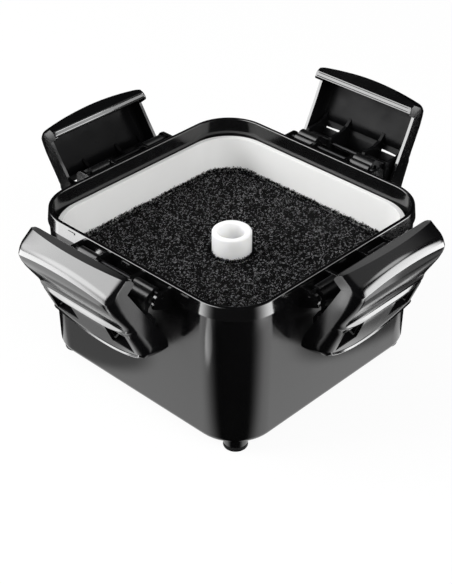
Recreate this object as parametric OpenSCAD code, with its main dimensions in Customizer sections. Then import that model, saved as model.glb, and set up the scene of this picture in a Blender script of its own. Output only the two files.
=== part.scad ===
// Open lower module of a square canister filter: tub with four two-bar latches,
// media basket, centre tube and foam pads. Millimetres, +Z up, feet stand on z = 0.

/* [Tub] */
// width across the rim band
rim_w = 170; // [150:1:200]
// rim top down to the underside of the tub
tub_h = 95.2; // [80:0.1:120]
// centre of every corner arc, measured from the middle
corner_c = 56.1; // [45:0.1:70]
// radius of the wall's corner just under the rim
corner_top_r = 28.5; // [20:0.1:40]
// radius of the wall's corner at the base, which sets the draft
corner_base_r = 26.6; // [20:0.1:40]
// wall and floor thickness
wall_t = 3; // [2:0.1:4]
// round between wall and underside
base_round = 4; // [2:0.5:6]
// height of the thickened rim band
band_h = 8; // [5:0.5:12]
// length of the small ribs on the band
rib_l = 5.6; // [3:0.1:10]
// distance of the outer band ribs from the middle of a side
rib_x = 46; // [35:1:55]

/* [Feet] */
// radius of foot stub and rubber pad
foot_r = 7.2; // [5:0.1:10]
// height of the moulded stub
stub_h = 4.2; // [2:0.1:6]
// thickness of the rubber pad
pad_h = 3; // [2:0.1:5]
// distance of each foot from both middle planes
foot_c = 68.5; // [60:0.1:72]
// radius of the plug that holds a pad in its stub
plug_r = 2.5; // [1.5:0.1:4]

/* [Hinge] */
// hinge rod radius
rod_r = 1.5; // [1:0.1:2]
// running clearance between rod and link, radial
rod_gap = 0.05; // [0.01:0.01:0.1]
// ear rod outside the rim band
ear_out = 6.6; // [5:0.1:10]
// ear rod below the rim top
ear_down = 3.8; // [3:0.1:8]
// distance between a link's two rods
link_l = 15.4; // [10:0.1:20]
// outer radius of the hump that lifts a link's web over the ear rod
hump_r = 4.9; // [4:0.1:6]
// thickness of the web in the hump
link_t = 2.7; // [2:0.1:4]
// radius of a link's barrels
barrel_r = 3; // [2.5:0.1:4]
// inner end of a link, from the latch's middle
link_x0 = 15.3; // [10:0.1:20]
// outer end of a link, from the latch's middle
link_x1 = 30; // [25:0.1:35]
// thickness of the inner ears and ribs that hold a rod
ear_t = 2.4; // [1.5:0.1:3]
// inner face of the lever's outer rib, from the latch's middle
rib_x1 = 31.2; // [30:0.1:34]
// thickness of the lever's outer rib
rib_t = 2.2; // [1.5:0.1:3]
// outer face of the outer ear, from the latch's middle
ear_x1 = 35.7; // [33:0.1:35.7]
// thickness of the outer ear
outer_ear_t = 2; // [1.5:0.1:2.2]
// free side play between a link and what holds its rods
side_gap = 0.4; // [0.2:0.1:1]

/* [Latch] */
// length of the lever over its end walls
lever_l = 76; // [60:1:90]
// thickness of the end walls
cheek_t = 2; // [1.5:0.1:3]
// height of the top arch above the link rod, at the middle
arch_top = 46.6; // [40:0.1:50]
// radius of the top arch
arch_r = 192; // [150:1:300]
// radius of the nose between top and skin
nose_r = 340; // [150:1:400]
// depth of the skirt below the link rod, at the middle
skirt_low = 20.2; // [15:0.1:22]
// radius of the skirt's lower edge
skirt_r = 62; // [55:1:100]
// length over which the end walls round into the skin
cheek_round = 4; // [2:0.1:6]
// windows: inner and outer end from the middle
win_x0 = 13.9; // [10:0.1:20]
win_x1 = 31.9; // [25:0.1:35]
// windows: lower and upper edge from the link rod
win_z0 = -8.2; // [-9:0.1:-4]
win_z1 = 4.4; // [2:0.1:8]

/* [Pose of the open latches] */
// link angle below level, front
front_link = 60; // [0:1:92]
// outward tilt of the lever, front
front_tilt = 34.4; // [0:0.1:40]
// link angle below level, right
right_link = 69; // [0:1:92]
// outward tilt of the lever, right
right_tilt = 31.5; // [0:0.1:40]
// link angle below level, back
back_link = 14; // [0:1:92]
// outward tilt of the lever, back
back_tilt = 27.4; // [0:0.1:40]
// link angle below level, left
left_link = 68; // [0:1:92]
// outward tilt of the lever, left
left_tilt = 35.6; // [0:0.1:40]

/* [Basket] */
// half width over the basket's lip
lip_half = 81.05; // [75:0.05:81.5]
// centre of the basket's corner arcs
basket_c = 52.85; // [45:0.05:56]
// rim top of the tub down to the basket's lip
lip_down = 11; // [5:0.1:20]
// half width of the basket wall under its lip
basket_top = 79.8; // [74:0.1:80.5]
// half width of the basket wall at its floor
basket_bot = 75.8; // [70:0.1:79]
// basket wall thickness
basket_t = 1.9; // [1.2:0.1:3]
// basket floor thickness
basket_floor_t = 2; // [1.5:0.1:3]
// height of the lip
basket_lip_h = 3; // [2:0.1:5]
// height and radius of the pads that carry the basket
rest_h = 6; // [4:0.1:10]
rest_r = 6; // [3:0.5:8]
// free play between basket and pads
seat_gap = 0.3; // [0.3:0.1:1]
// slots along one quarter of the basket floor
slots = 7; // [4:1:10]
// width and length of one slot
slot_w = 3.2; // [2:0.1:5]
slot_l = 56; // [30:1:60]
// height and wall of the collar that grips the tube
collar_h = 7; // [4:0.5:12]
collar_t = 2; // [1.2:0.1:3]

/* [Tube and foam] */
// tube outer radius
tube_r = 12.1; // [10:0.1:15]
// tube bore radius
tube_bore_r = 8.5; // [6:0.1:11]
// rim top of the tub down to the tube's mouth
tube_down = 18.6; // [10:0.1:30]
// gap between tube and tub floor
tube_foot = 3; // [2:0.1:8]
// rim top of the tub down to the upper foam face
foam_down = 33.8; // [25:0.1:50]
// thickness of the upper foam
foam_t = 25; // [15:0.5:30]
// gap between foam and its neighbours
foam_gap = 0.4; // [0.3:0.1:1]

/* [Hidden] */
black = [0.03, 0.03, 0.032];
white = [0.9, 0.9, 0.88];
steel = [0.75, 0.75, 0.77];
grey_rubber = [0.2, 0.2, 0.2];
foam_black = [0.05, 0.05, 0.055];
foam_grey = [0.16, 0.17, 0.19];
eps = 0.01;
grip = 0.05;
base_z = stub_h + pad_h;
rim_z = base_z + tub_h;
rim_half = rim_w / 2;
band_r = rim_half - corner_c;
floor_z = base_z + wall_t;
rod_y = rim_half + ear_out;
rod_z = rim_z - ear_down;
ear_rod_half = ear_x1 - 0.1;
lever_rod_half = rib_x1 + rib_t + 0.2;
nose_lean = 36.4;
nose_top = 40.95;
basket_z = floor_z + rest_h;
lip_z = rim_z - lip_down;
foam_z = rim_z - foam_down;
inner_slope = (basket_top - basket_bot) / (lip_z - basket_z);

function basket_inner(z) = basket_bot - basket_t + (z - basket_z) * inner_slope;

// rounded square plate: half width, corner radius, height
module plate(half, r, h) {
    linear_extrude(h) {
        square([2 * half, 2 * (half - r)], center = true);
        square([2 * (half - r), 2 * half], center = true);
        for (x = [-1, 1], y = [-1, 1])
            translate([x * (half - r), y * (half - r)]) circle(r, $fn = 64);
    }
}

// drafted block with rounded corners standing on z = 0
module drafted(c, r_low, r_high, h) {
    hull() for (x = [-1, 1], y = [-1, 1])
        translate([x * c, y * c, 0]) cylinder(h, r_low, r_high, $fn = 48);
}

// the tub's outer block, rounded along its lower edge
module tub_block() {
    slope = (corner_top_r - corner_base_r) / tub_h;
    round_c = corner_base_r + base_round * slope - base_round;
    hull() for (x = [-1, 1], y = [-1, 1]) translate([x * corner_c, y * corner_c, base_z]) {
        translate([0, 0, base_round])
            cylinder(tub_h - base_round - 0.5, corner_base_r + base_round * slope,
                     corner_top_r, $fn = 48);
        rotate_extrude($fn = 48) translate([round_c, base_round])
            intersection() {
                circle(base_round, $fn = 24);
                translate([0, -base_round]) square(base_round);
            }
    }
}

// copies its children to the four sides; the first stands on -Y
module sides() {
    for (k = [0:3]) rotate(90 * k) children();
}

// sweeps a flat (outward, up) outline along X from x0 to x1 for the -Y side
module along_x(x0, x1) {
    translate([x0, 0, 0]) rotate([90, 0, 90]) linear_extrude(x1 - x0) mirror([1, 0]) children();
}

// both ends of a latch: children at +X and mirrored at -X
module both_ends() {
    children();
    mirror([1, 0, 0]) children();
}

// inner ear of the tub, drawn from the rod's axis
module inner_ear() {
    difference() {
        polygon([[-ear_out - 1.6, 3], [1.4, 3], [3.3, 2.2], [4.4, 0.4], [4.5, -1.8], [4, -3],
                 [-ear_out - 1.6, -10.8]]);
        circle(rod_r, $fn = 32);
    }
}

// outer ear, deeper and with an upright outer edge
module outer_ear() {
    difference() {
        polygon([[-ear_out - 1.6, 2.2], [2.8, 2.2], [4.6, 1.4], [5.8, 0], [6.3, -1.6],
                 [6.3, -5.8], [-ear_out - 1.6, -12.4]]);
        circle(rod_r, $fn = 32);
    }
}

module container_shell() {
    color(black) {
        difference() {
            union() {
                tub_block();
                translate([0, 0, rim_z - band_h]) plate(rim_half, band_r, band_h);
            }
            translate([0, 0, floor_z])
                drafted(corner_c, corner_base_r - wall_t, band_r - wall_t,
                        tub_h - wall_t + eps);
        }
        for (x = [-1, 1], y = [-1, 1]) {
            translate([x * foot_c, y * foot_c, pad_h]) difference() {
                cylinder(stub_h + 2, r = foot_r, $fn = 48);
                translate([0, 0, -eps]) cylinder(stub_h - 1, r = plug_r, $fn = 32);
            }
            translate([x * corner_c, y * corner_c, floor_z - eps])
                cylinder(rest_h - seat_gap + eps, r = rest_r, $fn = 32);
        }
        sides() {
            for (x = [-rib_x, 0, rib_x])
                translate([x - rib_l / 2, -rim_half - 0.5, rim_z - 2.7]) cube([rib_l, 1.5, 1.1]);
            translate([0, -rod_y, rod_z]) both_ends() {
                along_x(ear_x1 - outer_ear_t, ear_x1) outer_ear();
                along_x(link_x0 - side_gap - ear_t, link_x0 - side_gap) inner_ear();
            }
        }
    }
}

module rubber_foot(sx, sy) {
    color(grey_rubber) translate([sx * foot_c, sy * foot_c, 0]) {
        cylinder(pad_h, r = foot_r, $fn = 48);
        translate([0, 0, pad_h - eps]) cylinder(stub_h - 1.3, r = plug_r, $fn = 32);
    }
}
module foot_front_left() { rubber_foot(-1, -1); }
module foot_front_right() { rubber_foot(1, -1); }
module foot_back_left() { rubber_foot(-1, 1); }
module foot_back_right() { rubber_foot(1, 1); }

// a hinge rod along X through the origin
module rod(half) {
    color(steel) translate([-half, 0, 0]) rotate([0, 90, 0])
        cylinder(2 * half, r = rod_r, $fn = 32);
}

module lug_pins() {
    sides() translate([0, -rod_y, rod_z]) rod(ear_rod_half);
}

// one link: ear rod at the origin, lever rod outward along its chord
module link_outline() {
    difference() {
        union() {
            translate([4.4, 0.6]) intersection() {
                difference() {
                    circle(hump_r, $fn = 60);
                    circle(hump_r - link_t, $fn = 48);
                }
                translate([-6, -0.6]) square([12, 8]);
            }
            polygon([[7.6, 4.3], [link_l - 0.6, 1.6], [link_l - 1.2, -1.2], [6.4, 1.4]]);
            circle(barrel_r, $fn = 40);
            translate([link_l, 0]) circle(barrel_r, $fn = 40);
        }
        circle(rod_r + rod_gap, $fn = 32);
        translate([link_l, 0]) circle(rod_r + rod_gap, $fn = 32);
    }
}

// places children at the ear rod of side k, turned down by the link angle
module at_ear_rod(k, angle) {
    rotate(90 * k) translate([0, -rod_y, rod_z]) rotate([angle, 0, 0]) children();
}

// places children at the lever rod of side k, tilted outward with the lever
module at_lever_rod(k, angle, tilt) {
    at_ear_rod(k, angle) translate([0, -link_l, 0]) rotate([tilt - angle, 0, 0]) children();
}

module latch_links(k, angle) {
    color(black) at_ear_rod(k, angle) both_ends() along_x(link_x0, link_x1) link_outline();
}

// side outline of the lever, outward and up from the lever rod
module lever_outline() {
    polygon([[-6.4, 40.4], [-0.8, 48], [6, 48], [8.8, 45.6], [9.9, 43.6], [11.2, 40.3],
             [12.6, 35.8], [13.6, 30.7], [14.4, 24], [14.8, 18], [15.1, 11.3],
             [18.9, -11.9], [17.4, -13.2], [13.4, -16.6], [8.6, -19.6],
             [5.4, -21], [1.8, -22.2], [0.9, -21.8], [0.6, -20.6],
             [0.3, 9.9], [0.2, 20], [-0.4, 34.6], [-5.6, 35], [-6.7, 35.4], [-7.3, 36.4],
             [-7.1, 38.6]]);
}

// body that is full at the skin and shrinks to the flat face towards both ends
module rounded_ends(skin, flat) {
    core = lever_l / 2 - cheek_round;
    hull() for (a = [0:22.5:90])
        along_x(-core - cheek_round * sin(a), core + cheek_round * sin(a))
            polygon([for (i = [0:len(skin) - 1])
                skin[i] * cos(a) + flat[i] * (1 - cos(a))]);
}

// lower skirt of the skin, between the rounded ends
module skirt_outline() {
    polygon([[15, 9.9], [20.5, -20.6], [18.3, -20.6], [12.8, 9.7]]);
}

// hollow of the lever, open towards the tub and downward
module lever_hollow() {
    polygon([[-12, -40], [-12, 36.4], [-4.6, 36.4], [-4.6, 38.8], [2, 48.1], [7.6, 44.5],
             [9.1, 39.6], [10.5, 35], [11.4, 30.4], [12.2, 24], [12.7, 18], [13.1, 11.8],
             [12.8, 9.7], [18.3, -20.6], [17.4, -40]]);
}

// rib that holds the lever rod and stiffens the skin
module lever_rib() {
    difference() {
        polygon([[-3.2, -3.4], [-3.2, 3.4], [-1.6, 6.2], [9, 12.8], [14.2, 13.4], [14, 9.8],
                 [17.4, -8.8], [3, -7.6], [-1.2, -6]]);
        circle(rod_r, $fn = 32);
    }
}

// box behind a window, open at its upper edge
module window_box() {
    polygon([[10.4, -9.6], [10.4, 3.7], [11.8, 3.7], [11.8, win_z0], [16.4, win_z0],
             [16.8, -9.6]]);
}

// cylinder along Y that is tangent to the arch at height z
module arch_cut(r, z) {
    translate([0, 0, z - r]) rotate([90, 0, 0]) cylinder(90, r = r, center = true, $fn = 360);
}

module lever() {
    half = lever_l / 2;
    hollow = half - cheek_t;
    core = half - cheek_round;
    color(black) {
        difference() {
            intersection() {
                union() {
                    intersection() {
                        along_x(-half, half) lever_outline();
                        union() {
                            rounded_ends([[-8, 44.6], [9, 44.6], [12.4, 36.7], [13.7, 30.8],
                                          [14.8, 20.3], [15.2, 9.9], [-8, 9.9]],
                                         [[-8, 42.2], [3.6, 40.9], [5.2, 36.7], [6.9, 30.8],
                                          [8.7, 20.3], [9.4, 9.9], [-8, 9.9]]);
                            rounded_ends([[0, 10], [15.2, 10], [17.5, -2.6], [19, -11.9],
                                          [13.5, -16.7], [5.4, -21.1], [0, -22.3]],
                                         [[0, 10], [9.4, 10], [9.2, -2.6], [8, -12],
                                          [6.6, -16.6], [4, -20.2], [0, -22.3]]);
                            translate([-core, -30, -22.3]) cube([2 * core, 40, 70]);
                        }
                    }
                    along_x(1 - core, core - 1) skirt_outline();
                }
                arch_cut(arch_r, arch_top);
                rotate([nose_lean, 0, 0]) arch_cut(nose_r, nose_top);
            }
            intersection() {
                along_x(-hollow, hollow) lever_hollow();
                arch_cut(arch_r, arch_top - 2.6);
                rotate([nose_lean, 0, 0]) arch_cut(nose_r, nose_top - 2.6);
            }
            difference() {
                translate([-hollow, -30, -40]) cube([2 * hollow, 60, 35]);
                translate([0, 0, skirt_r - skirt_low]) rotate([90, 0, 0])
                    cylinder(90, r = skirt_r, center = true, $fn = 180);
            }
            both_ends() translate([win_x0, -30, win_z0])
                cube([win_x1 - win_x0, 30, win_z1 - win_z0]);
        }
        both_ends() {
            along_x(rib_x1, rib_x1 + rib_t) lever_rib();
            along_x(link_x0 - side_gap - ear_t, link_x0 - side_gap) lever_rib();
            along_x(link_x0 - side_gap, rib_x1) window_box();
        }
    }
}

module front_latch_links() { latch_links(0, front_link); }
module front_latch_lever() { at_lever_rod(0, front_link, front_tilt) lever(); }
module front_latch_pin() { at_lever_rod(0, front_link, front_tilt) rod(lever_rod_half); }
module right_latch_links() { latch_links(1, right_link); }
module right_latch_lever() { at_lever_rod(1, right_link, right_tilt) lever(); }
module right_latch_pin() { at_lever_rod(1, right_link, right_tilt) rod(lever_rod_half); }
module back_latch_links() { latch_links(2, back_link); }
module back_latch_lever() { at_lever_rod(2, back_link, back_tilt) lever(); }
module back_latch_pin() { at_lever_rod(2, back_link, back_tilt) rod(lever_rod_half); }
module left_latch_links() { latch_links(3, left_link); }
module left_latch_lever() { at_lever_rod(3, left_link, left_tilt) lever(); }
module left_latch_pin() { at_lever_rod(3, left_link, left_tilt) rod(lever_rod_half); }

module basket() {
    color(white) {
        difference() {
            union() {
                translate([0, 0, basket_z])
                    drafted(basket_c, basket_bot - basket_c, basket_top - basket_c,
                            lip_z - basket_z);
                translate([0, 0, lip_z - basket_lip_h])
                    plate(lip_half, lip_half - basket_c, basket_lip_h);
            }
            translate([0, 0, basket_z + basket_floor_t])
                drafted(basket_c, basket_inner(basket_z + basket_floor_t) - basket_c,
                        basket_inner(lip_z) - basket_c, lip_z - basket_z);
            translate([0, 0, basket_z - 1]) cylinder(5, r = tube_r - grip, $fn = 64);
            // slots in four fields round the middle
            sides() for (i = [0:slots - 1])
                translate([18 + i * (basket_bot - 32) / slots, 6, basket_z - 1])
                    cube([slot_w, slot_l, 5]);
        }
        // collar that grips the tube
        translate([0, 0, basket_z]) difference() {
            cylinder(collar_h, r = tube_r + collar_t, $fn = 64);
            translate([0, 0, -1]) cylinder(collar_h + 2, r = tube_r - grip, $fn = 64);
        }
    }
}

module centre_tube() {
    bottom = floor_z + tube_foot;
    color(white) translate([0, 0, bottom]) difference() {
        cylinder(rim_z - tube_down - bottom, r = tube_r, $fn = 96);
        translate([0, 0, -1])
            cylinder(rim_z - tube_down - bottom + 2, r = tube_bore_r, $fn = 96);
    }
}

// foam pad that fills the basket between two heights
module pad(z0, z1, hole) {
    translate([0, 0, z0]) difference() {
        drafted(basket_c, basket_inner(z0) - foam_gap - basket_c,
                basket_inner(z1) - foam_gap - basket_c, z1 - z0);
        translate([0, 0, -1]) cylinder(z1 - z0 + 2, r = hole, $fn = 64);
    }
}
module top_foam() { color(foam_black) pad(foam_z - foam_t, foam_z, tube_r + foam_gap); }
module lower_foam() {
    color(foam_grey)
        pad(basket_z + basket_floor_t + 0.1, foam_z - foam_t - foam_gap,
            tube_r + collar_t + foam_gap);
}

container_shell();
foot_front_left();
foot_front_right();
foot_back_left();
foot_back_right();
lug_pins();
front_latch_links();
front_latch_lever();
front_latch_pin();
right_latch_links();
right_latch_lever();
right_latch_pin();
back_latch_links();
back_latch_lever();
back_latch_pin();
left_latch_links();
left_latch_lever();
left_latch_pin();
basket();
centre_tube();
lower_foam();
top_foam();
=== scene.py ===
import bmesh
import bpy
import math
import random
from mathutils import Matrix, Vector, noise


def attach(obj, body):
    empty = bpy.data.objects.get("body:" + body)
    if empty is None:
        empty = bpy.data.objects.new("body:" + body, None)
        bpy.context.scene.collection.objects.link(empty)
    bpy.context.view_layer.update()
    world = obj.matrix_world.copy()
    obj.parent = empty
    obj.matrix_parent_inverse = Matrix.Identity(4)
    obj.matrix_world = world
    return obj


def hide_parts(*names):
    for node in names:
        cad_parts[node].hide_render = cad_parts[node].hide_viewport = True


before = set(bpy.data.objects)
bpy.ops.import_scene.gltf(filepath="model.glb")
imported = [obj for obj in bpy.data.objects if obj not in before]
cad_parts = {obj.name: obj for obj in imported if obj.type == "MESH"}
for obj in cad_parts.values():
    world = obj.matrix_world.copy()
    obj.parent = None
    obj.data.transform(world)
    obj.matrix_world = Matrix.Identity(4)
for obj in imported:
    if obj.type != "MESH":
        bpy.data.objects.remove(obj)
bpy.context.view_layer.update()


# Camera: looks down on the near corner of the tub, between its front and right sides.
# It stands about 0.9 m away and 0.54 m above the table.
view = bpy.data.cameras.new("camera")
view.sensor_fit = "VERTICAL"
view.sensor_height = 36
view.sensor_width = 36
view.lens = 87.81
view.clip_start = 0.05
camera = bpy.data.objects.new("camera", view)
camera.matrix_world = Matrix((
    (0.72117, -0.39436, 0.56955, 0.49485),
    (0.69275, 0.41054, -0.59291, -0.52021),
    (0.0, 0.82215, 0.56927, 0.5359),
    (0, 0, 0, 1)))
bpy.context.scene.collection.objects.link(camera)
bpy.context.scene.camera = camera


# Tub: one injection moulding in glossy black, with a thick rim band, small ribs on it
# and two pairs of ears on every side that carry the hinge rods of the latches.
def new_piece(name, mesh, body, slot, *nodes):
    piece = bpy.data.objects.new(name, mesh)
    bpy.context.scene.collection.objects.link(piece)
    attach(piece, body)
    if nodes:
        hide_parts(*nodes)
    return piece


def soften_edges(piece, width, steps, sharper_than):
    soften = piece.modifiers.new("soft edges", "BEVEL")
    soften.width = width
    soften.segments = steps
    soften.limit_method = "ANGLE"
    soften.angle_limit = math.radians(sharper_than)
    soften.harden_normals = True


def keep_faces_flat(piece):
    flat = piece.modifiers.new("flat faces stay flat", "WEIGHTED_NORMAL")
    flat.keep_sharp = True


def moulded_copy(name, node, body, slot, edge, material, steps=2):
    solid = bmesh.new()
    solid.from_mesh(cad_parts[node].data)
    bmesh.ops.remove_doubles(solid, verts=solid.verts, dist=2e-6)
    bmesh.ops.dissolve_limit(solid, angle_limit=math.radians(0.6),
                             verts=solid.verts, edges=solid.edges)
    for face in solid.faces:
        face.smooth = True
    mesh = bpy.data.meshes.new(name)
    solid.to_mesh(mesh)
    solid.free()
    mesh.materials.append(material)
    piece = new_piece(name, mesh, body, slot, node)
    soften_edges(piece, edge, steps, 28)
    keep_faces_flat(piece)
    return piece


def node_of(tree, kind, at, **values):
    made = tree.nodes.new(kind)
    made.location = at
    for key, value in values.items():
        setattr(made, key, value)
    return made


def bare_finish(name):
    material = bpy.data.materials.new(name)
    material.use_nodes = True
    tree = material.node_tree
    tree.nodes.clear()
    out = node_of(tree, "ShaderNodeOutputMaterial", (900, 0))
    skin = node_of(tree, "ShaderNodeBsdfPrincipled", (600, 0))
    tree.links.new(skin.outputs[0], out.inputs[0])
    place = node_of(tree, "ShaderNodeTexCoord", (-900, 0)).outputs["Object"]
    return material, tree, tree.links.new, skin, place


def clouds(tree, place, at, scale, detail):
    made = node_of(tree, "ShaderNodeTexNoise", at)
    made.inputs["Scale"].default_value = scale
    made.inputs["Detail"].default_value = detail
    tree.links.new(place, made.inputs["Vector"])
    return made


def black_moulding(name, colour, rough, ripple, shine):
    material, tree, link, skin, place = bare_finish(name)
    flow = clouds(tree, place, (-600, 200), 22, 4)
    tint = node_of(tree, "ShaderNodeValToRGB", (-300, 260))
    tint.color_ramp.elements[0].position = 0.35
    tint.color_ramp.elements[0].color = (*[c * 0.8 for c in colour], 1)
    tint.color_ramp.elements[1].position = 0.7
    tint.color_ramp.elements[1].color = (*[c * 1.2 for c in colour], 1)
    link(flow.outputs[0], tint.inputs[0])
    link(tint.outputs[0], skin.inputs["Base Color"])
    haze = clouds(tree, place, (-600, -60), 90, 6)
    gloss = node_of(tree, "ShaderNodeMapRange", (-300, -40))
    gloss.inputs["From Min"].default_value = 0.3
    gloss.inputs["From Max"].default_value = 0.8
    gloss.inputs["To Min"].default_value = rough * 0.8
    gloss.inputs["To Max"].default_value = rough * 1.35
    link(haze.outputs[0], gloss.inputs["Value"])
    link(gloss.outputs[0], skin.inputs["Roughness"])
    wave = clouds(tree, place, (-600, -320), 160, 3)
    bump = node_of(tree, "ShaderNodeBump", (300, -300))
    bump.inputs["Strength"].default_value = ripple
    bump.inputs["Distance"].default_value = 0.0001
    link(wave.outputs[0], bump.inputs["Height"])
    link(bump.outputs[0], skin.inputs["Normal"])
    skin.inputs["Specular IOR Level"].default_value = shine
    skin.inputs["IOR"].default_value = 1.5
    return material


tub_black = black_moulding("tub_black", (0.003, 0.003, 0.0032), 0.14, 0.1, 0.95)
tub = moulded_copy("tub", "container_shell", "container", "tub_plastic", 0.0006, tub_black)
# the band's outer face leans inwards towards its top, and the edges of its top are rounded;
# both are found by their distance from the middle of the nearest corner's arc
corner, band_low, band_high = 0.0561, 0.0944, 0.1024
outer_from, outer_to, lip_from, slack = 0.0286, 0.0295, 0.02, 0.0001
lean_at_foot, lean_in, lip_round = 0.0003, 0.0008, 0.0006
rim = bmesh.new()
rim.from_mesh(tub.data)
reach_of = {}
for vert in rim.verts:
    across = Vector((max(abs(vert.co.x) - corner, 0), max(abs(vert.co.y) - corner, 0)))
    reach = reach_of[vert] = across.length
    if outer_from < reach < outer_to and vert.co.z > band_low - slack:
        lean = lean_at_foot - lean_in * (vert.co.z - band_low) / (band_high - band_low)
        vert.co.x += math.copysign(1, vert.co.x) * across.x * lean / reach
        vert.co.y += math.copysign(1, vert.co.y) * across.y * lean / reach
lips = [edge for edge in rim.edges
        if all(vert.co.z > band_high - slack for vert in edge.verts)
        and abs(reach_of[edge.verts[0]] - reach_of[edge.verts[1]]) < slack
        and max(reach_of[vert] for vert in edge.verts) > lip_from]
bmesh.ops.bevel(rim, geom=lips, offset=lip_round, offset_type="OFFSET", segments=3,
                profile=0.5, affect="EDGES", clamp_overlap=False, material=-1)
for face in rim.faces:
    face.smooth = True
rim.to_mesh(tub.data)
rim.free()


# Feet: a turned-down stub of the tub with a soft rubber disc pressed over a plug below it.
# The rubber is dull dark grey.
foot_rubber = black_moulding("foot_rubber", (0.012, 0.012, 0.0125), 0.7, 0.6, 0.12)
for end in ("front", "back"):
    for hand in ("left", "right"):
        moulded_copy(f"rubber_{end}_{hand}", f"foot_{end}_{hand}", "container",
                     "pad_rubber", 0.0006, foot_rubber)


# Hinge rods: drawn steel, pushed through the ears and through the ribs of the levers.
# They are blackened against rust, with fine lines round them from drawing and cutting.
def drawn_steel(name):
    material, tree, link, skin, place = bare_finish(name)
    lines = clouds(tree, place, (-600, 0), 900, 5)
    tint = node_of(tree, "ShaderNodeValToRGB", (-300, 200))
    tint.color_ramp.elements[0].color = (0.008, 0.008, 0.0085, 1)
    tint.color_ramp.elements[1].color = (0.02, 0.02, 0.021, 1)
    link(lines.outputs[0], tint.inputs[0])
    link(tint.outputs[0], skin.inputs["Base Color"])
    gloss = node_of(tree, "ShaderNodeMapRange", (-300, -100))
    gloss.inputs["To Min"].default_value = 0.3
    gloss.inputs["To Max"].default_value = 0.45
    link(lines.outputs[0], gloss.inputs["Value"])
    link(gloss.outputs[0], skin.inputs["Roughness"])
    skin.inputs["Metallic"].default_value = 0.9
    return material


steel = drawn_steel("steel")
moulded_copy("ear_rods", "lug_pins", "container", "pin_steel", 0.0003, steel)


# Links: two short straps on every side, each a barrel round the ear rod, a humped web and
# a barrel round the lever's rod, moulded in glossy black.
link_black = black_moulding("link_black", (0.004, 0.004, 0.0043), 0.3, 0.1, 0.4)
for side in ("front", "right", "back", "left"):
    moulded_copy(f"{side}_links", f"{side}_latch_links", f"{side}_link", "latch_plastic",
                 0.0003, link_black)
    moulded_copy(f"{side}_rod", f"{side}_latch_pin", f"{side}_lever", "pin_steel",
                 0.0003, steel)


# Levers: a thin-walled shell on each side, moulded in glossy black and duller inside, with a
# crowned top, a ridged hook lip, two windows and ends that round into flat cheeks.
# It turns on the second rod, which ribs behind the windows hold.
latch_black = black_moulding("latch_black", (0.004, 0.004, 0.0043), 0.12, 0.1, 0.9)
latch_inside = black_moulding("latch_inside", (0.004, 0.004, 0.0043), 0.34, 0.3, 0.06)
# millimetres from the lever's middle, and rows counted from the lip down
flat_x, cheek_x, round_l, cheek_from = 34, 38.0, 4.0, 35.5
window_from, window_to, foot_open_to = 13.9, 31.9, 36
lip_rows, shoulder_row, window_top, window_bottom, foot_row = 6, 12, 24, 26, 29
shoulder_round, wall_t = 0.0015, 0.0019
# distance along, how far the end has turned, and whether it is the cheek's inner edge
half_columns = [(x, 0, False)
                for x in (3.5, 7, 10.4, window_from, 18.4, 22.9, 27.4, window_to, flat_x)]
half_columns += [(flat_x + round_l * math.sin(math.radians(a)), a, False)
                 for a in (15, 30, 45, 60, 75, 90)]
half_columns.append((cheek_x, 90, True))
lever_columns = ([(-x, a, rim) for x, a, rim in reversed(half_columns)] + [(0, 0, False)]
                 + half_columns)
# flat cheek outline and its inner edge, from the lip over the nose down to the foot
cheek_rows = (
    ((-7.2, 36.4), (-7.0, 36.0)), ((-7.2, 37.0), (-6.95, 35.85)), ((-7.2, 37.5), (-6.9, 35.7)),
    ((-7.0, 39.1), (-6.6, 35.35)), ((-6.85, 39.5), (-6.45, 35.3)), ((-6.5, 40.3), (-6.1, 35.15)),
    ((-5.2, 42.0), (-5.0, 35.0)), ((-1.3, 41.65), (-3.2, 34.85)), ((1.9, 41.4), (-2.0, 34.72)),
    ((2.4, 41.2), (-1.7, 34.71)), ((2.9, 40.95), (-1.4, 34.7)), ((3.35, 40.7), (-1.1, 34.68)),
    ((4.2, 40.0), (-0.8, 34.65)), ((4.8, 38.4), (-0.4, 34.6)), ((5.2, 36.7), (-0.35, 33.0)),
    ((6.9, 30.8), (-0.2, 29.0)), ((8.1, 24.0), (0.1, 23.0)), ((8.75, 18.0), (0.2, 18.0)),
    ((8.85, 16.0), (0.22, 16.0)), ((8.95, 14.2), (0.25, 14.2)), ((9.1, 12.7), (0.27, 12.7)),
    ((9.3, 11.2), (0.29, 11.2)), ((9.4, 10.2), (0.3, 10.2)), ((9.4, 9.2), (0.3, 9.2)),
    ((9.3, 7.2), (0.35, 7.2)), ((9.2, -0.8), (0.4, -0.8)), ((8.5, -8.2), (0.46, -8.2)),
    ((8.25, -10.2), (0.48, -10.2)), ((8.0, -12.0), (0.55, -12.0)), ((7.6, -13.8), (0.75, -13.8)),
    ((6.9, -16.6), (1.2, -16.4)), ((6.0, -18.8), (1.9, -18.4)), ((5.0, -20.2), (2.6, -19.7)),
    ((3.6, -21.2), (3.1, -20.6)))


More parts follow.
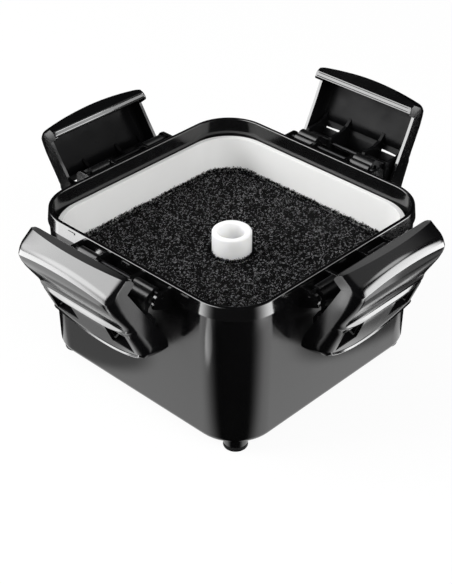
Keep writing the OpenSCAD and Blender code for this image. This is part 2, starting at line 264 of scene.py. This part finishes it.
# section of the lever at x along it, as (out, up) from its rod, in the same order of rows
def lever_skin(x):
    crown = 46.6 - x * x / 384
    drop = (0.02 + x * x / 680) / 1.886
    shoulder = (9.9 + 1.3 * drop, 43.6 - 3.3 * drop)
    crest = (-6.4 + (crown - 40.4) * 0.737, crown)
    nose = ((40.95 - x * x / 680 - 0.805 * crown) / 0.593, crown)
    under = (shoulder[1] + 35.8) / 2
    fall = Vector((shoulder[0] - nose[0], shoulder[1] - nose[1])).normalized() * 2.8
    before, after = (nose[0] - 2.6, crown), (nose[0] + fall.x, nose[1] + fall.y)
    bend = [[b * (1 - t) ** 2 + 2 * n * t * (1 - t) + a * t * t
             for b, n, a in zip(before, nose, after)] for t in (0, 0.33, 0.67, 1)]
    foot = -11.9 if abs(x) > cheek_from else 41.8 - math.sqrt(62 * 62 - x * x)
    rows = [(-7.4, 36.5), (-7.23, 37.1), (-7.39, 37.55), (-7.17, 39.15), (-7.32, 39.55),
            (-7.13, 40.2), crest,
            ((crest[0] + nose[0]) / 2 - 0.6, crown), *bend, shoulder,
            ((shoulder[0] + 12.6) / 2 + 0.15, under), (12.6, 35.8)]
    proud = 1 - 0.95 * (x / cheek_x) ** 4
    rows += [(13.2 + (u - 13.2) * proud, z) for u, z in (
        (13.2, 30.7), (13.5, 24), (13.5, 18), (13.7, 16), (14.2, 14.5), (15.2, 13.3),
        (16.6, 12.4), (17.1, 11.5), (16, 9.8))]
    rows += [(15 + 0.18 * (9.9 - z), z) for z in (7.6, -0.2, -8.2)]
    if abs(x) > cheek_from:
        rows += [(18.5, -10.1), (19, -11.9), (17.4, -13.4)]
    else:
        lip = 15 + 0.18 * (8.5 - foot)
        rows += [(lip, foot + 1.4), (lip + 0.9, foot + 0.8), (lip + 0.85, foot - 0.2)]
    return rows + [(14.2, -16.9), (10, -20.2), (6.6, -21.8), (3.4, -22.4)]


def lever_shell():
    shell = bmesh.new()
    across, down = len(lever_columns) - 1, len(cheek_rows) - 1
    bmesh.ops.create_grid(shell, x_segments=across, y_segments=down, size=1)
    spot = {}
    for vert in shell.verts:
        column = round((vert.co.x + 1) / 2 * across)
        row = round((1 - vert.co.y) / 2 * down)
        x, turn, rim = lever_columns[column]
        skin, (flat, inner) = lever_skin(x)[row], cheek_rows[row]
        full = math.cos(math.radians(turn))
        out, up = inner if rim else [s * full + f * (1 - full) for s, f in zip(skin, flat)]
        vert.co = Vector((x, -out, up)) / 1000
        spot[vert] = (x, row)
    holes = []
    for face in shell.faces:
        x = sum(abs(spot[v][0]) for v in face.verts) / 4
        row = sum(spot[v][1] for v in face.verts) / 4
        if (window_from < x < window_to and window_top < row < window_bottom
                or row > foot_row and x < foot_open_to):
            holes.append(face)
    shoulders = [edge for edge in shell.edges
                 if all(spot[v][1] == shoulder_row for v in edge.verts)]
    # the ridges of the lip keep crisp edges along it
    for edge in shell.edges:
        if all(0 < spot[v][1] < lip_rows and abs(spot[v][0]) < cheek_x for v in edge.verts):
            edge.smooth = spot[edge.verts[0]][1] != spot[edge.verts[1]][1]
    bmesh.ops.delete(shell, geom=holes, context="FACES")
    bmesh.ops.bevel(shell, geom=shoulders, offset=shoulder_round, offset_type="OFFSET",
                    segments=4, profile=0.5, affect="EDGES", clamp_overlap=True, material=-1)
    outer = min(shell.faces, key=lambda face: face.calc_center_median().y)
    shell.normal_update()
    if outer.normal.y > 0:
        bmesh.ops.reverse_faces(shell, faces=shell.faces)
    return shell


def add_plate(solid, outline, x0, x1, hole):
    corners = [solid.verts.new((x0 / 1000, -u / 1000, z / 1000)) for u, z in outline]
    edges = [solid.edges.new(pair) for pair in zip(corners, corners[1:] + corners[:1])]
    if hole:
        turned = Matrix.Rotation(math.radians(90), 4, "Y")
        turned.translation = (x0 / 1000, 0, 0)
        ring = bmesh.ops.create_circle(solid, segments=24, radius=hole / 1000, matrix=turned)
        edges += list({edge for vert in ring["verts"] for edge in vert.link_edges})
    filled = bmesh.ops.triangle_fill(solid, use_beauty=True, edges=edges)
    sheet = [item for item in filled["geom"] if isinstance(item, bmesh.types.BMFace)]
    grown = bmesh.ops.extrude_face_region(solid, geom=sheet, use_keep_orig=True)
    moved = [item for item in grown["geom"] if isinstance(item, bmesh.types.BMVert)]
    bmesh.ops.translate(solid, verts=moved, vec=((x1 - x0) / 1000, 0, 0))


rib_outline = ((-3.2, -3.4), (-3.2, 3.4), (-0.4, 5.2), (5.5, 8.2), (9.4, 12.4), (11.4, 17.8),
               (12.4, 17.8), (13.2, 9.8), (16.2, -7.4), (3, -7.6), (-1.2, -6))
sill_outline = ((10.4, -9.6), (10.4, 6.8), (11.8, 6.8), (11.8, -9.1), (15.6, -8.5),
                (18.1, -7.95), (17.6, -9.6))
inner_rib, outer_rib, rod_hole = (12.5, 14.9), (31.2, 33.4), 1.5
# degrees round the tub, the rod's distance out and height in mm, degrees it leans out
lever_place = {"front": (0, 99.3, 85.263, 34.4), "right": (90, 97.119, 84.223, 31.5),
               "back": (180, 106.543, 94.874, 27.4), "left": (270, 97.369, 84.321, 35.6)}
for side, (turn, rod_out, rod_up, tilt) in lever_place.items():
    place = (Matrix.Rotation(math.radians(turn), 4, "Z")
             @ Matrix.Translation((0, -rod_out / 1000, rod_up / 1000))
             @ Matrix.Rotation(math.radians(tilt), 4, "X"))
    shell = lever_shell()
    for face in shell.faces:
        face.smooth = True
    bmesh.ops.transform(shell, matrix=place, verts=shell.verts)
    mesh = bpy.data.meshes.new(f"{side}_lever")
    shell.to_mesh(mesh)
    shell.free()
    mesh.materials.append(latch_black)
    mesh.materials.append(latch_inside)
    piece = new_piece(f"{side}_lever", mesh, f"{side}_lever", "latch_plastic",
                      f"{side}_latch_lever")
    wall = piece.modifiers.new("wall", "SOLIDIFY")
    wall.thickness = wall_t
    wall.offset = -1
    wall.use_even_offset = True
    wall.use_quality_normals = True
    wall.material_offset = 1
    wall.material_offset_rim = 0
    soften_edges(piece, 0.00035, 2, 38)
    keep_faces_flat(piece)

    ribs = bmesh.new()
    for hand in (-1, 1):
        for near, far in (inner_rib, outer_rib):
            add_plate(ribs, rib_outline, hand * near, hand * far, rod_hole)
        add_plate(ribs, sill_outline, hand * inner_rib[1], hand * outer_rib[0], 0)
    bmesh.ops.recalc_face_normals(ribs, faces=ribs.faces)
    bmesh.ops.transform(ribs, matrix=place, verts=ribs.verts)
    mesh = bpy.data.meshes.new(f"{side}_lever_ribs")
    ribs.to_mesh(mesh)
    ribs.free()
    mesh.materials.append(latch_inside)
    inside = new_piece(f"{side}_lever_ribs", mesh, f"{side}_lever", "latch_plastic")
    soften_edges(inside, 0.00025, 2, 38)


# Basket: a satin white moulding that hangs in the tub, with a rounded lip round its top.
# It carries the foams and grips the tube with a collar in its floor.
def pale_moulding(name, colour, rough, through):
    material, tree, link, skin, place = bare_finish(name)
    cloud = clouds(tree, place, (-600, 150), 30, 5)
    tint = node_of(tree, "ShaderNodeValToRGB", (-300, 200))
    tint.color_ramp.elements[0].position = 0.3
    tint.color_ramp.elements[0].color = (*[c * 0.97 for c in colour], 1)
    tint.color_ramp.elements[1].position = 0.75
    tint.color_ramp.elements[1].color = (*colour, 1)
    link(cloud.outputs[0], tint.inputs[0])
    link(tint.outputs[0], skin.inputs["Base Color"])
    grain = clouds(tree, place, (-600, -200), 700, 3)
    gloss = node_of(tree, "ShaderNodeMapRange", (-300, -100))
    gloss.inputs["To Min"].default_value = rough * 0.85
    gloss.inputs["To Max"].default_value = rough * 1.15
    link(grain.outputs[0], gloss.inputs["Value"])
    link(gloss.outputs[0], skin.inputs["Roughness"])
    bump = node_of(tree, "ShaderNodeBump", (300, -300))
    bump.inputs["Strength"].default_value = 0.15
    bump.inputs["Distance"].default_value = 0.0001
    link(grain.outputs[0], bump.inputs["Height"])
    link(bump.outputs[0], skin.inputs["Normal"])
    skin.inputs["Specular IOR Level"].default_value = 0.15
    skin.inputs["Subsurface Weight"].default_value = through
    skin.inputs["Subsurface Radius"].default_value = (0.006, 0.006, 0.0055)
    skin.inputs["Subsurface Scale"].default_value = 1
    return material


basket_white = pale_moulding("basket_white", (0.85, 0.85, 0.84), 0.42, 0.0)
moulded_copy("basket_moulding", "basket", "basket", "basket_plastic", 0.0007, basket_white,
             3)


# Centre tube: a thick white pipe through the middle of the foams, cut square at its mouth.
# Light shines a little way into its plastic.
tube_white = pale_moulding("tube_white", (0.92, 0.92, 0.915), 0.34, 0.9)
moulded_copy("tube", "centre_tube", "basket", "tube_plastic", 0.0016, tube_white, 6)


# Foams: pads of open-cell foam cut to the basket, with a hole for the tube.
# The upper one is coarse and black, the one below it is finer and dark grey.
def foam_skin(name, dark, light, cells):
    material, tree, link, skin, place = bare_finish(name)
    pores = node_of(tree, "ShaderNodeTexVoronoi", (-700, 0), feature="DISTANCE_TO_EDGE")
    pores.inputs["Scale"].default_value = cells
    link(place, pores.inputs["Vector"])
    # the cell walls keep the foam's own colour and each cell is painted darker towards its
    # middle: painted shade in the pores
    tint = node_of(tree, "ShaderNodeValToRGB", (-300, 200))
    tint.color_ramp.elements[0].position = 0.04
    tint.color_ramp.elements[0].color = (*light, 1)
    tint.color_ramp.elements[1].position = 0.22
    tint.color_ramp.elements[1].color = (*dark, 1)
    link(pores.outputs[0], tint.inputs[0])
    link(tint.outputs[0], skin.inputs["Base Color"])
    bump = node_of(tree, "ShaderNodeBump", (300, -300), invert=True)
    bump.inputs["Strength"].default_value = 1
    bump.inputs["Distance"].default_value = 0.001
    link(pores.outputs[0], bump.inputs["Height"])
    link(bump.outputs[0], skin.inputs["Normal"])
    skin.inputs["Roughness"].default_value = 0.8
    skin.inputs["Specular IOR Level"].default_value = 0.04
    return material


def foam_pad(name, node, body, slot, material, cell):
    solid = bmesh.new()
    solid.from_mesh(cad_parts[node].data)
    bmesh.ops.remove_doubles(solid, verts=solid.verts, dist=2e-6)
    mesh = bpy.data.meshes.new(name)
    solid.to_mesh(mesh)
    solid.free()
    block = bpy.data.objects.new(name + "_block", mesh)
    bpy.context.scene.collection.objects.link(block)
    grain = block.modifiers.new("cells", "REMESH")
    grain.mode = "VOXEL"
    grain.voxel_size = cell
    cut = bpy.data.meshes.new_from_object(
        block.evaluated_get(bpy.context.evaluated_depsgraph_get()))
    bpy.data.objects.remove(block)
    # torn cells leave the faces of a cut pad rough by a few tenths of a millimetre
    torn = bmesh.new()
    torn.from_mesh(cut)
    torn.normal_update()
    for vert in torn.verts:
        push = noise.noise(vert.co * 620) * 0.5 + noise.noise(vert.co * 150) * 0.5
        vert.co += vert.normal * (0.00045 * push - 0.0003)
    torn.to_mesh(cut)
    torn.free()
    cut.materials.clear()
    cut.materials.append(material)
    for face in cut.polygons:
        face.use_smooth = True
    piece = new_piece(name, cut, body, slot, node)


coarse_black = foam_skin("coarse_black", (0.0005, 0.0005, 0.0005), (0.007, 0.007, 0.0074), 800)
fine_grey = foam_skin("fine_grey", (0.01, 0.01, 0.011), (0.07, 0.074, 0.08), 1200)
foam_pad("upper_foam_pad", "top_foam", "top_foam", "coarse_foam", coarse_black, 0.0013)
foam_pad("lower_foam_pad", "lower_foam", "basket", "media_foam", fine_grey, 0.002)


# Foam strands: the cut cell walls of the upper pad, short bent black fibres that stand a
# little way out of its face and stop just short of the basket and the tube.
def strand_skin(name, dark, light):
    material = foam_skin(name, dark, light, 1050)
    tree = material.node_tree
    cells = [n for n in tree.nodes if n.type == "TEX_VORONOI"][0]
    cells.feature = "F1"
    tint = [n for n in tree.nodes if n.type == "VALTORGB"][0]
    tree.links.new(cells.outputs["Color"], tint.inputs[0])
    tint.color_ramp.elements[0].position = 0.46
    tint.color_ramp.elements[0].color = (*dark, 1)
    tint.color_ramp.elements[1].position = 0.62
    tint.color_ramp.elements[1].color = (*light, 1)
    return material


# the upper strands are black with light grey on a random share of their cells: painted glints;
# the edge strands keep only a slightly lighter tone of their own black
strand_black_painted_glints = strand_skin("strand_black_painted_glints", (0.0008, 0.0008, 0.0008), (0.36, 0.36, 0.37))
edge_black = strand_skin("edge_black", (0.0008, 0.0008, 0.0008), (0.02, 0.02, 0.021))
random.seed(11)
strands = []
for bend, turn in ((0.0011, 70), (0.0008, 110), (0.0016, 50), (0.0006, 150)):
    arc = bmesh.new()
    start = bmesh.ops.create_circle(arc, cap_ends=True, segments=3, radius=0.00017)
    bmesh.ops.rotate(arc, verts=start["verts"], cent=(0, 0, 0),
                     matrix=Matrix.Rotation(math.radians(90), 3, "X"))
    bmesh.ops.translate(arc, verts=start["verts"], vec=(bend, 0, 0))
    bmesh.ops.spin(arc, geom=arc.verts[:] + arc.edges[:] + arc.faces[:], cent=(0, 0, 0),
                   axis=(0, 0, 1), angle=math.radians(turn), steps=2, use_merge=False)
    bmesh.ops.remove_doubles(arc, verts=arc.verts, dist=1e-7)
    bmesh.ops.recalc_face_normals(arc, faces=arc.faces)
    bmesh.ops.translate(arc, verts=arc.verts, vec=(-bend, 0, 0))
    mesh = bpy.data.meshes.new("strand")
    arc.to_mesh(mesh)
    arc.free()
    strands.append(mesh)
pad_top, pad_half, pad_corner, hole = 0.0686, 0.0763, 0.0529, 0.0125
# how far from a corner's middle a strand may reach, and how near to the tube's middle
wall_reach, tube_reach = 0.0236, 0.0122
strand_count, edge_width, overhang, edge_rise = 26000, 0.0045, 0.0003, 0.0019
straight_share, tube_ring, wall_room, tube_room = 0.75, 0.0014, 0.0008, 0.0006
fuzz = bmesh.new()
for number in range(strand_count):
    # one strand in four stands at the pad's edge, and some of the rest stand round the tube
    edge = number % 4 == 0
    if edge:
        inset = edge_width * random.random() ** 2 - overhang
        if random.random() < straight_share:
            along = random.uniform(-pad_corner, pad_corner)
            x, y = random.choice(((along, pad_half - inset), (along, inset - pad_half),
                                  (pad_half - inset, along), (inset - pad_half, along)))
        else:
            around, reach = random.uniform(0, 2 * math.pi), pad_half - pad_corner - inset
            x, y = (math.copysign(pad_corner, c) + c * reach
                    for c in (math.cos(around), math.sin(around)))
    elif number % 17 == 0:
        round_tube = random.uniform(0, 2 * math.pi)
        reach = hole + random.uniform(0, tube_ring)
        x, y = reach * math.cos(round_tube), reach * math.sin(round_tube)
        edge = True
    else:
        x, y = (random.uniform(-pad_half, pad_half) for _ in range(2))
        past = Vector((max(abs(x) - pad_corner, 0), max(abs(y) - pad_corner, 0)))
        if (past.length > pad_half - pad_corner - wall_room
                or math.hypot(x, y) < hole + tube_room):
            continue
    lean = random.uniform(50, 110) if edge else random.gauss(0, 32)
    height = pad_top + random.uniform(-0.0004, 0.0004)
    if edge:
        height += edge_rise * random.random() ** 2
    turn = (Matrix.Translation((x, y, height))
            @ Matrix.Rotation(random.uniform(0, 2 * math.pi), 4, "Z")
            @ Matrix.Rotation(math.radians(lean), 4, "X"))
    one = random.choice(strands).copy()
    one.transform(turn)
    # a strand that would run into the basket's wall or the tube is set back clear of it
    back = Vector()
    for vert in one.vertices:
        x, y, _ = vert.co
        past = Vector((math.copysign(max(abs(x) - pad_corner, 0), x),
                       math.copysign(max(abs(y) - pad_corner, 0), y), 0))
        middle = Vector((x, y, 0))
        for away in (past.normalized() * min(wall_reach - past.length, 0),
                     middle.normalized() * max(tube_reach - middle.length, 0)):
            back = max(back, away, key=lambda v: v.length)
    one.transform(Matrix.Translation(back))
    for face in one.polygons:
        face.material_index = int(edge)
    fuzz.from_mesh(one)
    bpy.data.meshes.remove(one)
for face in fuzz.faces:
    face.smooth = True
mesh = bpy.data.meshes.new("upper_foam_strands")
fuzz.to_mesh(mesh)
fuzz.free()
mesh.materials.append(strand_black_painted_glints)
mesh.materials.append(edge_black)
strand_piece = new_piece("upper_foam_strands", mesh, "top_foam", "coarse_foam")


# Studio: a white table, a soft key lamp to the left, a weaker one to the right and pale
# boxes round about, which show only as reflections in the gloss.
floor_mesh = bpy.data.meshes.new("table")
table = bmesh.new()
bmesh.ops.create_grid(table, x_segments=1, y_segments=1, size=3)
table.to_mesh(floor_mesh)
table.free()
floor = bpy.data.objects.new("table", floor_mesh)
bpy.context.scene.collection.objects.link(floor)
table_white = bpy.data.materials.new("table_white")
table_white.use_nodes = True
top = table_white.node_tree
top.nodes.clear()
tie = top.links.new
out = node_of(top, "ShaderNodeOutputMaterial", (1400, 0))
ray = node_of(top, "ShaderNodeLightPath", (600, 500))
paper = node_of(top, "ShaderNodeBsdfDiffuse", (400, 200))
paper.inputs["Color"].default_value = (0.9, 0.9, 0.9, 1)
# the light that the table throws back at the part is kept low, so that white stays unclipped
felt = node_of(top, "ShaderNodeBsdfDiffuse", (400, 340))
felt.inputs["Color"].default_value = (0.25, 0.25, 0.25, 1)
bright = node_of(top, "ShaderNodeEmission", (400, 60))
bright.inputs["Strength"].default_value = 1.0
backlit = node_of(top, "ShaderNodeMixShader", (700, 200))
backlit.inputs[0].default_value = 0.07
tie(bright.outputs[0], backlit.inputs[1])
tie(paper.outputs[0], backlit.inputs[2])


def ramp(tree, source, low, high, at_low, at_high):
    made = node_of(tree, "ShaderNodeMapRange", (0, 0), interpolation_type="SMOOTHSTEP")
    for socket, value in (("From Min", low), ("From Max", high), ("To Min", at_low),
                          ("To Max", at_high)):
        made.inputs[socket].default_value = value
    tree.links.new(source, made.inputs["Value"])
    return made.outputs[0]


def times(tree, first, second):
    made = node_of(tree, "ShaderNodeMath", (0, 0), operation="MULTIPLY")
    tree.links.new(first, made.inputs[0])
    tree.links.new(second, made.inputs[1])
    return made.outputs[0]


def bearing(azimuth, elevation):
    a, e = math.radians(azimuth), math.radians(elevation)
    return Vector((math.cos(a) * math.cos(e), math.sin(a) * math.cos(e), math.sin(e)))


# glossy rays see the table glow, dim near the tub as painted shade and brighter further out,
# square to the tub, a painted reflection: each ramp has the metres from the middle where it
# begins and ends, and the light there
where = node_of(top, "ShaderNodeTexCoord", (-900, 0)).outputs["Object"]
distance = node_of(top, "ShaderNodeVectorMath", (-800, 0), operation="ABSOLUTE")
tie(where, distance.inputs[0])
split = node_of(top, "ShaderNodeSeparateXYZ", (-700, 0))
tie(distance.outputs[0], split.inputs[0])
far = node_of(top, "ShaderNodeMath", (-600, 0), operation="MAXIMUM")
tie(split.outputs["X"], far.inputs[0])
tie(split.outputs["Y"], far.inputs[1])
level = node_of(top, "ShaderNodeMath", (-300, 0), operation="ADD")
tie(ramp(top, far.outputs["Value"], 0.19, 0.222, 1.1, 6.6), level.inputs[0])
tie(ramp(top, far.outputs["Value"], 0.3, 0.36, 0, 2.5), level.inputs[1])
level = level.outputs[0]
# oval patches of painted shade on it, all darker than the table but the last, which is a painted
# patch of light: middle in metres, half width and half depth in millimetres, what the light is
# multiplied by, and where the soft rim ends
for x, y, wide, deep, left, soft in (
        (-0.041, -0.151, 19, 31, 0.003, 1.08), (0.151, 0.041, 31, 19, 0.003, 1.08),
        (-0.07, -0.109, 45, 19, 0.36, 1.3), (0.122, 0.088, 21, 62, 0.2, 1.3),
        (-0.265, -0.152, 48, 32, 0.02, 1.2), (0.15, 0.3, 45, 80, 0.02, 1.2),
        (0.15, 0.128, 26, 30, 0.25, 1.3), (0.225, 0.19, 75, 85, 0.003, 1.1),
        (0.028, -0.177, 16, 22, 4.5, 1.3)):
    off = node_of(top, "ShaderNodeVectorMath", (-600, -200), operation="SUBTRACT")
    off.inputs[1].default_value = (x, y, 0)
    tie(where, off.inputs[0])
    oval = node_of(top, "ShaderNodeVectorMath", (-450, -200), operation="MULTIPLY")
    oval.inputs[1].default_value = (1000 / wide, 1000 / deep, 0)
    tie(off.outputs[0], oval.inputs[0])
    reach = node_of(top, "ShaderNodeVectorMath", (-300, -200), operation="LENGTH")
    tie(oval.outputs[0], reach.inputs[0])
    level = times(top, level, ramp(top, reach.outputs["Value"], 0.88, soft, left, 1))
# wedges of painted shade that open from a corner of the tub: apex, bearing, and the angles to
# either side where the painted shade is still full and where it has gone
for x, y, azimuth, full, none in ((0.072, -0.072, -50, 41, 85), (-0.08, -0.075, 150, 50, 64),
                                  (0.075, 0.08, 120, 50, 64)):
    apex = node_of(top, "ShaderNodeVectorMath", (-600, -400), operation="SUBTRACT")
    apex.inputs[1].default_value = (x, y, 0)
    tie(where, apex.inputs[0])
    aim = node_of(top, "ShaderNodeVectorMath", (-450, -400), operation="NORMALIZE")
    tie(apex.outputs[0], aim.inputs[0])
    shade_wedge_bearing = node_of(top, "ShaderNodeVectorMath", (-300, -400), operation="DOT_PRODUCT")
    shade_wedge_bearing.inputs[1].default_value = bearing(azimuth, 0)
    tie(aim.outputs[0], shade_wedge_bearing.inputs[0])
    level = times(top, level, ramp(top, shade_wedge_bearing.outputs["Value"], math.cos(math.radians(none)),
                                   math.cos(math.radians(full)), 1, 0.003))
mirrored = node_of(top, "ShaderNodeEmission", (400, -200))
tie(level, mirrored.inputs["Strength"])
indirect = node_of(top, "ShaderNodeMixShader", (900, 0))
tie(ray.outputs["Is Glossy Ray"], indirect.inputs[0])
tie(felt.outputs[0], indirect.inputs[1])
tie(mirrored.outputs[0], indirect.inputs[2])
shown = node_of(top, "ShaderNodeMixShader", (1150, 0))
tie(ray.outputs["Is Camera Ray"], shown.inputs[0])
tie(indirect.outputs[0], shown.inputs[1])
tie(backlit.outputs[0], shown.inputs[2])
tie(shown.outputs[0], out.inputs[0])
floor_mesh.materials.append(table_white)

for name, azimuth, elevation, size, energy in (("key", 226, 31, 0.8, 21),
                                               ("fill", -8, 34, 1.0, 14),
                                               ("overhead", 226, 84, 1.2, 0.5)):
    toward = bearing(azimuth, elevation)
    light = bpy.data.lights.new(name, "AREA")
    light.shape = "SQUARE"
    light.size = size
    light.energy = energy
    lamp = bpy.data.objects.new(name, light)
    lamp.location = toward * 1.5
    lamp.rotation_euler = (-toward).to_track_quat("-Z", "Y").to_euler()
    lamp.visible_glossy = False
    bpy.context.scene.collection.objects.link(lamp)

world = bpy.data.worlds.new("studio")
world.use_nodes = True
bpy.context.scene.world = world
sky = world.node_tree
sky.nodes.clear()
join = sky.links.new
out = node_of(sky, "ShaderNodeOutputWorld", (1400, 0))
ray = node_of(sky, "ShaderNodeLightPath", (600, 500))
plain = node_of(sky, "ShaderNodeBackground", (800, 0))
plain.inputs["Color"].default_value = (1, 1, 1, 1)
plain.inputs["Strength"].default_value = 0.5
white = node_of(sky, "ShaderNodeBackground", (800, 200))
white.inputs["Color"].default_value = (1, 1, 1, 1)
white.inputs["Strength"].default_value = 1.0
boxes = node_of(sky, "ShaderNodeBackground", (800, -200))
direction = node_of(sky, "ShaderNodeTexCoord", (-1200, 0))
total = None
# soft boxes: bearing, the angles of full light and of none, and strength
for azimuth, elevation, inner, outer, strength in (
        (226, 34, 24, 44, 8.0),
        (234, 14, 8, 22, 3.5),
        (146, -2, 12, 26, 0.5),
        (42, 4, 10, 19, 10.5),
        (46, 34, 5, 12, 5.0),
        (60, 52, 8, 30, 0.45)):
    toward = node_of(sky, "ShaderNodeVectorMath", (-900, 0), operation="DOT_PRODUCT")
    toward.inputs[1].default_value = bearing(azimuth, elevation)
    join(direction.outputs["Generated"], toward.inputs[0])
    soft = ramp(sky, toward.outputs["Value"], math.cos(math.radians(outer)),
                math.cos(math.radians(inner)), 0, strength)
    if total is None:
        total = soft
    else:
        add = node_of(sky, "ShaderNodeMath", (-300, 0), operation="ADD")
        join(total, add.inputs[0])
        join(soft, add.inputs[1])
        total = add.outputs[0]
join(total, boxes.inputs["Strength"])
glossy = node_of(sky, "ShaderNodeMixShader", (1000, 0))
join(ray.outputs["Is Glossy Ray"], glossy.inputs[0])
join(plain.outputs[0], glossy.inputs[1])
join(boxes.outputs[0], glossy.inputs[2])
seen = node_of(sky, "ShaderNodeMixShader", (1200, 0))
join(ray.outputs["Is Camera Ray"], seen.inputs[0])
join(glossy.outputs[0], seen.inputs[1])
join(white.outputs[0], seen.inputs[2])
join(seen.outputs[0], out.inputs[0])

bpy.context.scene.view_settings.view_transform = "Standard"
